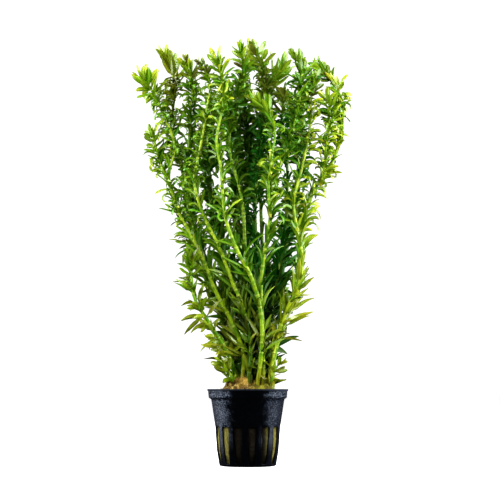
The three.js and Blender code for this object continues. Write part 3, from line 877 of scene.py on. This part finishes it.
def crown_leaves(shoot, line, end):
    """The crowded young leaves round the growing tip, which point forward."""
    places = []
    turn = random.uniform(0, math.tau)
    levels = shoot.get("tip_levels", CROWN_LEVELS)
    for step in range(levels):
        share = step / (levels - 1)
        turn += 0.9
        distance = end - CROWN_LENGTH * (1 - share) ** 1.2
        for leaf in range(CROWN_LEAVES if step < levels - 1 else LAST_LEAVES):
            angle = turn + leaf * math.tau / CROWN_LEAVES + random.uniform(-0.25, 0.25)
            if not is_cleared(shoot, line.at(distance)[2], angle):
                places.append((distance, angle, share))
    distances, turns, late = np.array(places).T
    count = len(distances)
    scatter = partial(random.uniform, size=count)
    wither = (scatter(0, 1) < shoot.get("tip_brown", 0.05)) * scatter(0.4, 1)
    tip_size = shoot.get("tip_size", 1)
    tip_open = shoot.get("tip_open", 1)
    tip_width = shoot.get("tip_width", tip_size ** 0.5)
    return leaf_part(STRAP, line, distances, turns, dict(
        length=(CROWN_LEAF_LENGTH - CROWN_LEAF_SHORTENING * late) * tip_size * scatter(0.8, 1.15),
        width=CROWN_LEAF_WIDTH * tip_width * scatter(0.85, 1.1),
        opening=np.radians((CROWN_OPENING - CROWN_CLOSING * late + scatter(-8, 12)) * tip_open),
        bend=np.radians(scatter(-25, 45) * tip_open * shoot.get("tip_curl", 1)),
        roll=scatter(0.3, 1.2) * np.sign(scatter(-1, 1)),
        twist=scatter(-0.5, 0.5),
        sway=scatter(-0.2, 0.2),
        lift=0.1 + scatter(-0.1, 0.15),
        thickness=np.full(count, CROWN_LEAF_THICKNESS),
        youth=np.clip((0.37 + 0.3 * late + scatter(-0.28, 0.22)) * shoot.get("tip_fresh", 1), 0, 1),
        tint=scatter(0, 1),
        olive=np.clip(shoot.get("tip_olive", 0.2) + 0.12 + scatter(-0.25, 0.25), 0, 1),
        wither=wither,
        shade=np.zeros(count),
    ))


def make_shoot(name, shoot, materials):
    line = CentreLine(shoot["route"])
    end = line.length - shoot.get("tip_back", TIP_BACK)
    whorls = whorl_distances(line, end, shoot.get("first", FIRST_WHORL), shoot.get("lush", 1))
    parts = [stem_part(shoot, line, end, whorls), crown_leaves(shoot, line, end)]
    if len(whorls):
        parts.extend(whorl_leaves(shoot, line, whorls))
    obj = make_object(name + "_leafy", parts, materials)
    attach(obj, "root")
    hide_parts(name)


# The pot: one skin turned round the axis, slotted, drained and given its wall

POT_HEIGHT = 51.6
POT_WALL = 1.0
POT_ROUNDING = 0.18
SLOTS = 14
SLOT_PITCH = math.tau / SLOTS
SLOT_TURN = 8
SLOT_BOTTOM, SLOT_TOP = 1.6, 26.3
SLOT_BOTTOM_WIDTH, SLOT_TOP_WIDTH = 4.0, 6.2
COLUMNS_PER_SLOT = 8
SLOT_SHARE = 0.25
DRAIN_INNER, DRAIN_OUTER = 10, 16
DRAIN_SHARE = 0.13
FLOOR_TOP = 0.1

POT_SKIN = [
    (8, 0), (DRAIN_INNER, 0), (DRAIN_OUTER, 0), (18.2, 0), (18.9, 0.25), (19.25, 0.8), (19.42, SLOT_BOTTOM),
    (20.2, 6), (20.9, 10.4), (21.5, 18), (22.05, SLOT_TOP), (22.3, 28), (23.6, 36.5), (24.7, 43.8),
    (24.95, 44.7), (25.6, 45.2), (26.2, 45.5), (26.5, 46.1), (26.65, 47.2), (26.9, 49.9), (27.1, 50.3),
    (27.42, 50.5), (27.5, 50.8), (27.5, 51.4), (27.3, POT_HEIGHT), (26.7, POT_HEIGHT),
]


def slot_half_angle(radius, height):
    share = np.clip((height - SLOT_BOTTOM) / (SLOT_TOP - SLOT_BOTTOM), 0, 1)
    width = SLOT_BOTTOM_WIDTH + (SLOT_TOP_WIDTH - SLOT_BOTTOM_WIDTH) * share
    return width / 2 / radius


def is_open(face):
    """True for the faces that a slot or a drain hole takes away, before the slots are drawn in."""
    middle = face.calc_center_median()
    turn = math.atan2(middle.x, -middle.y)
    if SLOT_BOTTOM < middle.z < SLOT_TOP:
        return abs(pitch_share(turn, SLOT_PITCH)) < SLOT_SHARE
    radius = math.hypot(middle.x, middle.y)
    on_drain = DRAIN_INNER < radius < DRAIN_OUTER and middle.z < FLOOR_TOP
    return on_drain and abs(pitch_share(turn, 2 * SLOT_PITCH, 0.25)) < DRAIN_SHARE


def draw_in(vert):
    """Moves a point round the axis, so that the columns beside it leave each slot its own width."""
    radius = math.hypot(vert.co.x, vert.co.y)
    if radius < DRAIN_OUTER + 0.5:
        return
    turn = math.atan2(vert.co.x, -vert.co.y)
    share = pitch_share(turn, SLOT_PITCH)
    size = abs(share)
    half = slot_half_angle(radius, vert.co.z)
    if size < SLOT_SHARE:
        wanted = half * size / SLOT_SHARE
    else:
        wanted = half + (SLOT_PITCH / 2 - half) * (size - SLOT_SHARE) / SLOT_SHARE
    turn = turn + math.copysign(wanted, share) - share * SLOT_PITCH
    vert.co.x, vert.co.y = radius * math.sin(turn), -radius * math.cos(turn)


def spun(bm, skin, columns):
    """Turns a profile of points once round the axis."""
    edges = [bm.edges.new(pair) for pair in zip(skin, skin[1:])]
    bmesh.ops.spin(bm, geom=skin + edges, cent=(0, 0, 0), axis=(0, 0, 1), angle=math.tau,
                   steps=columns, use_merge=True, dvec=(0, 0, 0))


def make_pot(material):
    bm = bmesh.new()
    spun(bm, [bm.verts.new((0, -radius, height)) for radius, height in POT_SKIN], SLOTS * COLUMNS_PER_SLOT)
    centre = [edge for edge in bm.edges if edge.is_boundary and edge.calc_length() < 1
              and max(vert.co.z for vert in edge.verts) < FLOOR_TOP]
    bmesh.ops.contextual_create(bm, geom=centre)
    cut = [face for face in bm.faces if is_open(face)]
    for vert in bm.verts:
        draw_in(vert)
    bmesh.ops.delete(bm, geom=cut, context="FACES")
    bmesh.ops.rotate(bm, verts=bm.verts, matrix=Matrix.Rotation(math.radians(SLOT_TURN), 3, "Z"))
    bmesh.ops.scale(bm, verts=bm.verts, vec=(MM, MM, MM))
    bmesh.ops.recalc_face_normals(bm, faces=bm.faces)
    mesh = bpy.data.meshes.new("net_pot")
    bm.to_mesh(mesh)
    bm.free()
    mesh.materials.append(material)
    mesh.polygons.foreach_set("use_smooth", np.ones(len(mesh.polygons), bool))
    obj = add_object("net_pot", mesh)
    wall = obj.modifiers.new("wall", "SOLIDIFY")
    wall.thickness = POT_WALL * MM
    wall.offset = -1
    wall.use_even_offset = True
    edge = obj.modifiers.new("edges", "BEVEL")
    edge.width = POT_ROUNDING * MM
    edge.segments = 2
    edge.limit_method = "ANGLE"
    edge.angle_limit = math.radians(50)
    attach(obj, "root")
    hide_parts("pot")


# The rock wool: a fibrous plug with a torn mound on top

WOOL_TOP = 50.8
WOOL_EDGE = 48.6
WOOL_COLUMNS = 168
WOOL_SKIN = [
    (17.6, 1.7), (19.0, 9), (20.0, 18), (20.5, 26), (21.6, 34), (22.9, 43), (23.1, 46), (22.9, WOOL_EDGE),
    (21, 49.8), (19, 50.3), (17, 50.6), *((radius, WOOL_TOP) for radius in (15, 13, 11, 9, 7, 5, 3, 1.2)),
]
SLOT_BULGE = 1.2
MOUNDS = [
    dict(x=-3.5, y=-8.5, height=7.6, half_x=6.0, half_y=7.0),
    dict(x=-10.5, y=-7, height=4.6, half_x=6.5, half_y=8.0),
    dict(x=-6, y=0, height=6.6, half_x=7.0, half_y=8.0),
    dict(x=5, y=-8, height=3.6, half_x=7.5, half_y=8.0),
    dict(x=13, y=-8, height=3.6, half_x=6.0, half_y=6.0),
]
PALE_LUMP = MOUNDS[0]
FIBRES = 900
FIBRE_REACH = 21
FIBRE_THICKNESS = 0.09


def mound_rise(x, y):
    """Height of the torn mound, as the highest of a few steep-sided lumps."""
    heights = []
    for mound in MOUNDS:
        away = math.hypot((x - mound["x"]) / mound["half_x"], (y - mound["y"]) / mound["half_y"])
        heights.append(mound["height"] * float(1 - climb(away, 0.55, 0.6)))
    return max(heights)


def in_slot(x, y, z):
    """1 in the middle of a slot and 0 behind the bars between the slots."""
    share = pitch_share(math.atan2(x, -y) - math.radians(SLOT_TURN), SLOT_PITCH)
    half = slot_half_angle(math.hypot(x, y) + 1, z) / SLOT_PITCH
    return 1 - float(smooth((abs(share) - half + 0.1) / 0.08))


def tear(vert):
    """Lifts a point of the top into the mound, and presses one of the side out through the slots."""
    x, y, z = vert.co
    on_top = z > WOOL_EDGE + 0.5
    if on_top:
        vert.co.z += mound_rise(x, y)
    lump = noise.fractal(vert.co * 0.35, 0.8, 2.2, 4)
    if on_top:
        vert.co.z += (1.2 + 2.2 * climb(vert.co.z, 52, 3)) * lump
    elif z > 2:
        bulge = SLOT_BULGE * float(smooth((SLOT_TOP - z) / 2)) * in_slot(x, y, z)
        grow = 1 + (0.3 * lump + bulge) / math.hypot(x, y)
        vert.co.x *= grow
        vert.co.y *= grow


def loose_fibres(top):
    """Fibres that stand out of the points of the top."""
    scatter = partial(random.uniform, size=FIBRES)
    picks = top[random.integers(0, len(top), FIBRES)]
    turn = scatter(0, math.tau)
    lean = scatter(0.15, 1.2)
    along = unit(np.stack([np.cos(turn) * np.sin(lean), np.sin(turn) * np.sin(lean), np.cos(lean)], axis=-1))
    out = unit(np.cross(along, unit(random.normal(size=(FIBRES, 3)))))
    place, faces, share, _ = bend_blades(THREAD, picks - 0.3 * along, out, along, dict(
        length=scatter(1.5, 4.5), width=scatter(0.14, 0.3), thickness=np.full(FIBRES, FIBRE_THICKNESS),
        opening=scatter(0.2, 1.2), bend=scatter(-2.4, 2.4), roll=np.zeros(FIBRES), twist=scatter(-1, 1),
        sway=scatter(-0.3, 0.3), lift=np.zeros(FIBRES)))
    tint = np.repeat(scatter(0.1, 1), share.shape[1])
    return Part(place, faces, 0, height=np.ones(tint.size), tint=tint)


def make_wool(material):
    bm = bmesh.new()
    spun(bm, [bm.verts.new((radius, 0, height)) for radius, height in WOOL_SKIN], WOOL_COLUMNS)
    for low in (True, False):
        rim = [edge for edge in bm.edges if edge.is_boundary and (edge.verts[0].co.z < 10) == low]
        bmesh.ops.contextual_create(bm, geom=rim)
    for vert in bm.verts:
        tear(vert)
    points, faces = shell_arrays(bm)
    bm.free()
    x, y, z = points.T
    height = climb(z, 44, 6)
    from_pale = np.hypot((x - PALE_LUMP["x"]) / 5, (y - PALE_LUMP["y"]) / 6)
    pale = (1 - climb(from_pale, 0.6, 0.8)) * climb(z, 52, 4)
    plug = Part(points, faces, 0, height=height, tint=pale)
    top = points[(z > WOOL_EDGE) & (np.hypot(x, y) < FIBRE_REACH)]
    obj = make_object("rock_wool_plug", [plug, loose_fibres(top)], [material], sharp=80)
    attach(obj, "root")
    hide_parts("rock_wool")


# Camera, floor and light

STUDIO_AIR = 0.055
FLOOR_GLOW = 0.8
FLOOR_HALF_SIZE = 40
FLOOR_DROP = 0.0002
LIGHT_AIM = (0, 0, 0.17)
LIGHTS = [
    ("left", (-0.9, -0.05, 0.35), (1.3, 0.9), 21.5),
    ("right", (0.87, -0.23, 0.35), (1.3, 0.9), 31),
    ("front", (-0.35, -0.95, 0.75), (0.5, 0.4), 15),
    ("top", (0, 0, 1.2), (0.7, 0.5), 6),
    ("back", (0.5, 1.0, 0.55), (0.9, 0.6), 9),
]


def make_camera():
    data = bpy.data.cameras.new("photograph_camera")
    data.sensor_width = SENSOR_WIDTH
    data.lens = SENSOR_WIDTH * FOCAL_PIXELS / FRAME_PIXELS
    data.clip_end = FAR_CLIP
    camera = add_object("photograph_camera", data)
    camera.location = Vector(CAMERA_PLACE) * MM
    camera.rotation_euler = (math.radians(90) + CAMERA_PITCH, 0, 0)
    bpy.context.scene.camera = camera


def make_stage(material):
    bm = bmesh.new()
    bmesh.ops.create_grid(bm, x_segments=1, y_segments=1, size=FLOOR_HALF_SIZE)
    mesh = bpy.data.meshes.new("studio_floor")
    bm.to_mesh(mesh)
    bm.free()
    mesh.materials.append(material)
    floor = add_object("studio_floor", mesh)
    floor.location.z = -FLOOR_DROP
    floor.visible_diffuse = False
    floor.visible_glossy = False


def make_lights():
    """Soft lamps round the plant, and air that is white to the camera and dim to everything else."""
    for name, place, size, power in LIGHTS:
        data = bpy.data.lights.new(name, "AREA")
        data.shape = "RECTANGLE"
        data.size, data.size_y = size
        data.energy = power
        lamp = add_object(name, data)
        lamp.location = place
        lamp.rotation_euler = (Vector(LIGHT_AIM) - Vector(place)).to_track_quat("-Z", "Y").to_euler()
    world = bpy.data.worlds.new("studio")
    world.use_nodes = True
    tree = world.node_tree
    background = tree.nodes["Background"]
    background.inputs["Color"].default_value = (1, 1, 1, 1)
    seen = tree.nodes.new("ShaderNodeLightPath")
    strength = tree.nodes.new("ShaderNodeMapRange")
    strength.inputs["To Min"].default_value = STUDIO_AIR
    strength.inputs["To Max"].default_value = 1
    tree.links.new(seen.outputs["Is Camera Ray"], strength.inputs["Value"])
    tree.links.new(strength.outputs["Result"], background.inputs["Strength"])
    bpy.context.scene.world = world
    bpy.context.scene.view_settings.view_transform = "Standard"
    bpy.context.scene.view_settings.look = "Medium High Contrast"


make_camera()
leaf, stem = leaf_paint(), stem_paint()
make_pot(pot_paint())
make_wool(wool_paint())
for shoot_name, growth in SHOOTS.items():
    make_shoot(shoot_name, growth, [leaf, stem])
make_stage(floor_paint())
make_lights()
